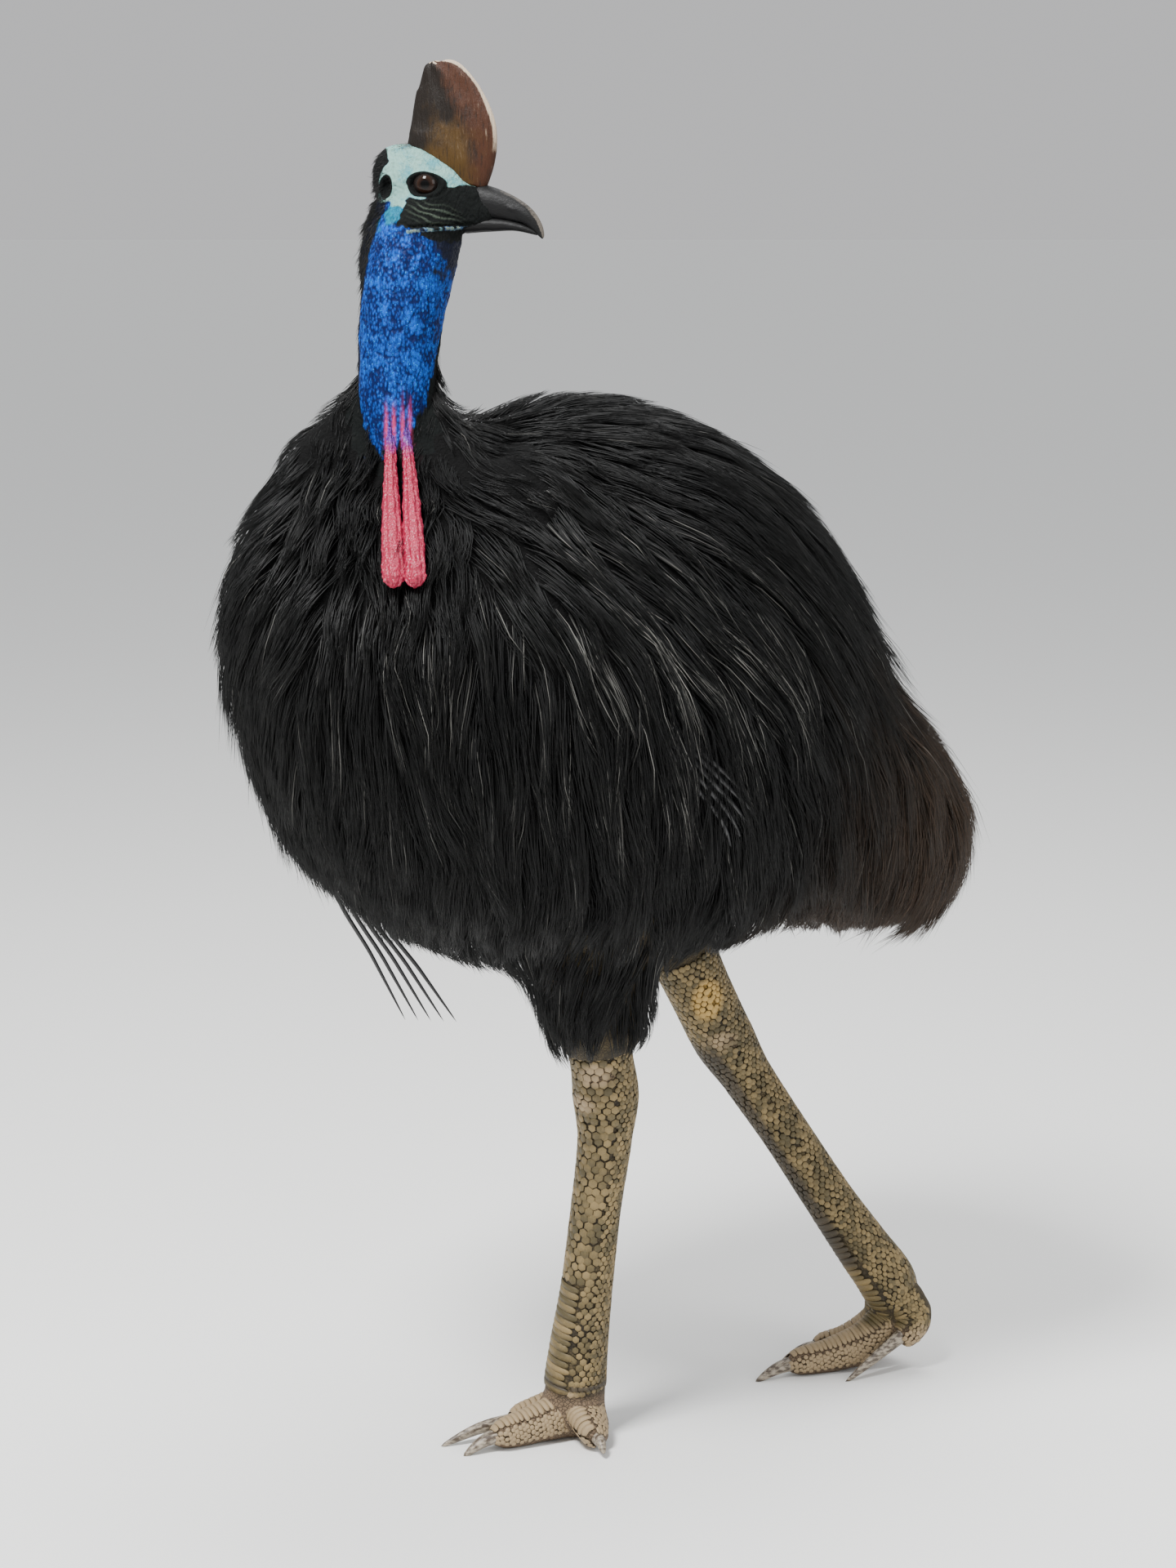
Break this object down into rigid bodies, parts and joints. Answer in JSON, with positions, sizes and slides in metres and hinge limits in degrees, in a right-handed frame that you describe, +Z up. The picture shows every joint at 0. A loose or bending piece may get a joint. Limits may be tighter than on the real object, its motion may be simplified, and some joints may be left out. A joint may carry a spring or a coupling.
{
  "type": "southern cassowary",
  "caption": "Life-size still model of a striding cassowary: black feathered body, blue neck, wattles, tall casque, bare scaled legs.",
  "frame": {"origin": "middle of the foot of the whole bird's box, on the floor it stands on", "axes": "+Z up; -Y is the way the body faces; +X is towards the bird's left side"},
  "size_m": [0.5384, 0.8782, 1.5196],
  "materials": {
    "body_feathers": "glossy black hair-like feathers",
    "tail_feathers": "black feathers, brown towards the tips",
    "quills": "bare black keratin quills",
    "neck_skin": "bare wrinkled skin, bright blue",
    "head_skin": "bare skin, pale blue-white above and behind the eye, black before it",
    "casque": "keratin, brown with a pale worn front edge",
    "bill": "black keratin",
    "eyes": "wet dark brown eye",
    "wattles": "bare pink-red skin",
    "leg_skin": "scaled skin, olive tan",
    "toe_skin": "scaled skin, pale pinkish tan",
    "claws": "pale horn with brown streaks"
  },
  "bodies": {
    "root": {"bill_lower": "bill", "bill_upper": "bill", "casque": "casque", "claw_inner_left": "claws", "claw_inner_right": "claws", "claw_middle_left": "claws", "claw_middle_right": "claws", "claw_outer_left": "claws", "claw_outer_right": "claws", "eye_left": "eyes", "eye_right": "eyes", "head": "head_skin", "neck_lower": "neck_skin", "neck_upper": "neck_skin", "shank_left": "leg_skin", "shank_right": "leg_skin", "tail": "tail_feathers", "tarsus_left": "leg_skin", "tarsus_right": "leg_skin", "thigh_left": "body_feathers", "thigh_right": "body_feathers", "toe_inner_left": "toe_skin", "toe_inner_right": "toe_skin", "toe_middle_left": "toe_skin", "toe_middle_right": "toe_skin", "toe_outer_left": "toe_skin", "toe_outer_right": "toe_skin", "torso": "body_feathers", "wattle_left": "wattles", "wattle_right": "wattles", "wing_left": "quills", "wing_right": "quills"}
  },
  "joints": []
}
